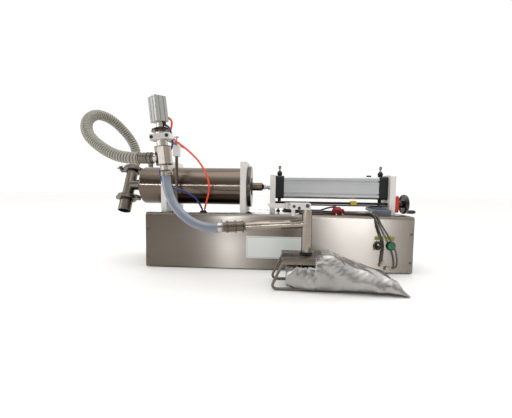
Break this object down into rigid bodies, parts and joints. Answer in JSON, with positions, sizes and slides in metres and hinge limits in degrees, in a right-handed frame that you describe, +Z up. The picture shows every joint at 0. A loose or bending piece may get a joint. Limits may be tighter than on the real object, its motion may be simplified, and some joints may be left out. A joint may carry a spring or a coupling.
{
  "type": "bag-in-box filler",
  "caption": "Piston dosing filler: long steel cabinet, product and air cylinders in line, suction tee, hose-fed nozzle on a stand, filling head, wire rack with foil bag, foot pedal.",
  "frame": {"origin": "floor level under the middle of the cabinet", "axes": "+X along the cabinet to the handwheel, -Y to the operator, +Z up"},
  "size_m": [1.0281, 0.4498, 0.5051],
  "materials": {
    "brushed_sheet": "brushed stainless sheet",
    "stainless_pipe": "satin stainless pipe",
    "bright_steel": "ground bright steel",
    "plate_aluminium": "milled aluminium plate",
    "anodised": "clear anodised extrusion",
    "cap_casting": "dark grey coated casting",
    "black_rubber": "black rubber",
    "black_plastic": "black moulded plastic",
    "red_plastic": "red orange moulded plastic",
    "plug_plastic": "dark red moulded plastic",
    "pointer_plastic": "yellow moulded plastic",
    "green_plastic": "green button cap",
    "white_plastic": "white slide plastic",
    "knob_plastic": "grey beige plastic",
    "hose_pvc": "grey beige spiral hose",
    "clear_hose": "translucent blue grey hose",
    "pedal_paint": "slate blue grey coating",
    "foil": "crumpled metallised film",
    "label_white": "plain label sheet",
    "cord_pvc": "dark grey cord jacket",
    "tube_orange": "air tube, orange and navy"
  },
  "bodies": {
    "machine": {"cabinet_shell": "brushed_sheet", "cabinet_panels": "brushed_sheet", "rubber_feet": "black_rubber", "machine_screws": "bright_steel", "support_plates": "plate_aluminium", "product_cylinder": "brushed_sheet", "rear_cap": "cap_casting", "drive_barrel": "anodised", "drive_caps": "cap_casting", "air_fittings": "black_plastic", "guide_rail": "plate_aluminium", "position_indicator": "red_plastic", "tee_pipes": "stainless_pipe", "tee_clamps": "stainless_pipe", "seal_rings": "black_rubber", "spiral_hose": "hose_pvc", "inlet_coupling": "black_rubber", "nozzle_body": "stainless_pipe", "nozzle_neck": "stainless_pipe", "clamp_block": "plate_aluminium", "actuator_body": "anodised", "nozzle_stand": "stainless_pipe", "fill_hose": "clear_hose", "hose_clamps": "stainless_pipe", "feed_union": "stainless_pipe", "head_tube": "stainless_pipe", "head_block": "plate_aluminium", "bag_rack": "stainless_pipe", "bag_spout": "black_plastic", "foil_bag": "foil", "label_plates": "label_white", "panel_fittings": "black_plastic", "pedal_base": "pedal_paint", "mains_plug": "plug_plastic", "mains_coil": "cord_pvc", "pedal_coil": "cord_pvc", "mains_cord": "cord_pvc", "pedal_cord": "cord_pvc", "nozzle_air_tubes": "tube_orange", "drive_air_tubes": "tube_orange"},
    "piston_assembly": {"product_piston": "white_plastic", "piston_seals": "black_rubber", "product_rod": "bright_steel", "drive_rod": "bright_steel"},
    "handwheel_assembly": {"spindle": "bright_steel", "handwheel": "black_plastic"},
    "grip": {"crank_grip": "black_plastic"},
    "carriage": {"pointer_carriage": "pointer_plastic"},
    "front_flow_knob": {"flow_knob_front": "knob_plastic"},
    "rear_flow_knob": {"flow_knob_rear": "knob_plastic"},
    "upper_wing_nut": {"wing_nut_upper": "stainless_pipe"},
    "lower_wing_nut": {"wing_nut_lower": "stainless_pipe"},
    "suction_disc": {"suction_valve": "white_plastic"},
    "discharge_disc": {"discharge_valve": "white_plastic"},
    "plunger": {"nozzle_plunger": "bright_steel"},
    "clamp_screw": {"thumb_screw": "bright_steel"},
    "lever": {"lever_arm": "plate_aluminium"},
    "selector": {"selector_knob": "black_plastic"},
    "button": {"start_button": "green_plastic"},
    "treadle": {"pedal_treadle": "pedal_paint"}
  },
  "joints": [
    {"name": "piston_slide", "type": "slide", "parent": "machine", "child": "piston_assembly", "axis": [-1, 0, 0], "range_m": [0, 0.25]},
    {"name": "handwheel_turn", "type": "hinge", "parent": "machine", "child": "handwheel_assembly", "pos_m": [0, -0.036, 0.2095], "axis": [1, 0, 0], "range_deg": [-9000, 3240]},
    {"name": "carriage_slide", "type": "slide", "parent": "machine", "child": "carriage", "axis": [1, 0, 0], "range_m": [-0.2001, 0.0721]},
    {"name": "grip_spin", "type": "hinge", "parent": "handwheel_assembly", "child": "grip", "pos_m": [0.42, -0.036, 0.1845], "axis": [1, 0, 0], "continuous": true},
    {"name": "front_flow_turn", "type": "hinge", "parent": "machine", "child": "front_flow_knob", "pos_m": [0.009, 0, 0.31], "axis": [0, 0, 1], "range_deg": [-720, 1440]},
    {"name": "rear_flow_turn", "type": "hinge", "parent": "machine", "child": "rear_flow_knob", "pos_m": [0.348, 0, 0.31], "axis": [0, 0, 1], "range_deg": [-720, 1440]},
    {"name": "upper_nut_turn", "type": "hinge", "parent": "machine", "child": "upper_wing_nut", "pos_m": [-0.5628, 0.02674, 0.31533], "axis": [0, -0.8988, 0.4384], "continuous": true},
    {"name": "lower_nut_turn", "type": "hinge", "parent": "machine", "child": "lower_wing_nut", "pos_m": [-0.4828, -0.02148, 0.21646], "axis": [0, -0.8988, 0.4384], "continuous": true},
    {"name": "suction_lift", "type": "slide", "parent": "machine", "child": "suction_disc", "axis": [0, 0.4384, 0.8988], "range_m": [0, 0.005]},
    {"name": "discharge_lift", "type": "slide", "parent": "machine", "child": "discharge_disc", "axis": [0, 0.4384, 0.8988], "range_m": [0, 0.005]},
    {"name": "plunger_lift", "type": "slide", "parent": "machine", "child": "plunger", "axis": [-0.1149, 0, 0.9934], "range_m": [0, 0.015]},
    {"name": "thumb_screw_turn", "type": "hinge", "parent": "machine", "child": "clamp_screw", "pos_m": [-0.325, -0.085, 0.4], "axis": [0, 0, 1], "continuous": true},
    {"name": "lever_swing", "type": "hinge", "parent": "machine", "child": "lever", "pos_m": [0.0245, -0.258, 0.21], "axis": [0, 0, 1], "range_deg": [-45, 45]},
    {"name": "selector_turn", "type": "hinge", "parent": "machine", "child": "selector", "pos_m": [0.309, -0.125, 0.086], "axis": [0, -1, 0], "range_deg": [0, 90]},
    {"name": "button_press", "type": "slide", "parent": "machine", "child": "button", "axis": [0, 1, 0], "range_m": [0, 0.004], "stiffness_N_per_m": 600, "springref_m": -0.002},
    {"name": "treadle_press", "type": "hinge", "parent": "machine", "child": "treadle", "pos_m": [0.325, -0.0895, 0.1845], "axis": [-1, 0, 0], "range_deg": [0, 5], "stiffness_Nm_per_rad": 3, "springref_deg": -5.73}
  ],
  "couplings": [
    {"joint": "carriage_slide", "follows": "handwheel_turn", "m_per_rad": 0.0012732}
  ]
}
